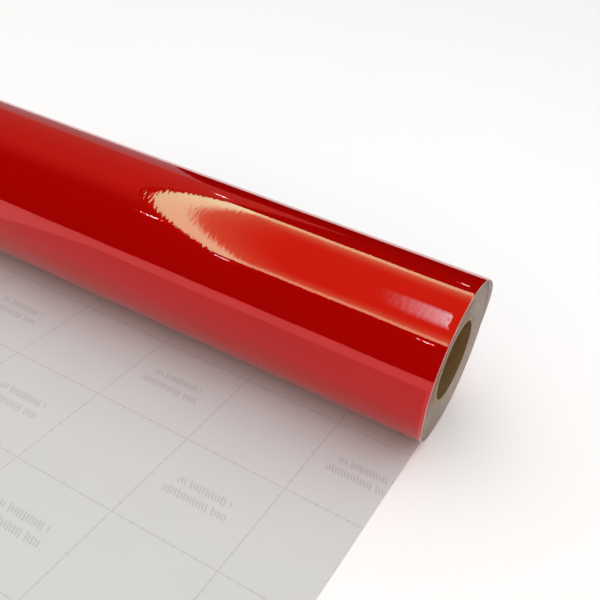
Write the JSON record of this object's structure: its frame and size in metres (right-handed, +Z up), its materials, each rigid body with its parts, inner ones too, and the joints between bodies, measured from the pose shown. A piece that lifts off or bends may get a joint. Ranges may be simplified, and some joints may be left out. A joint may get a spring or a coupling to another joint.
{
  "type": "roll of sign vinyl",
  "caption": "Roll of self-adhesive red sign vinyl on a hollow paper core, its free end laid flat in front with the printed release liner up.",
  "frame": {"origin": "middle of the footprint of roll and laid web, on the surface that they lie on", "axes": "+X along the roll's axis, towards the end nearer the viewer; -Y the way the laid web points; +Z up"},
  "size_m": [0.61, 0.5289, 0.1579],
  "materials": {
    "red_film": "high-gloss red cast film over fine glass beads, slight orange peel",
    "release_liner": "satin silicone-coated paper, off-white, with a thin grey printed 100 mm grid",
    "wound_edges": "slit edges of film and liner, warm grey-brown, satin, in fine rings",
    "kraft_paper": "brown kraft paper, matte, fibrous, with helical seams",
    "core_board": "grey-brown core board, matte, sawn at the ends",
    "paper_tape": "cream crepe paper tape, matte"
  },
  "bodies": {
    "laid_web": {"laid_film": "red_film", "laid_liner": "release_liner"},
    "carriage": {"outer_turn_film": "red_film", "outer_turn_liner": "release_liner"},
    "roll": {"wound_web": "wound_edges", "core_inner_ply": "kraft_paper", "core_body_ply_1": "core_board", "core_body_ply_2": "core_board", "core_body_ply_3": "core_board", "core_outer_ply": "kraft_paper", "start_tape_left": "paper_tape", "start_tape_middle": "paper_tape", "start_tape_right": "paper_tape"}
  },
  "joints": [
    {"name": "roll_travel", "type": "slide", "parent": "laid_web", "child": "carriage", "axis": [0, -1, 0], "range_m": [0, 0.4]},
    {"name": "roll_spin", "type": "hinge", "parent": "carriage", "child": "roll", "pos_m": [0, 0.1855, 0.0791], "axis": [1, 0, 0], "range_deg": [0, 291]}
  ],
  "couplings": [
    {"joint": "roll_spin", "follows": "roll_travel", "rad_per_m": 12.658}
  ]
}
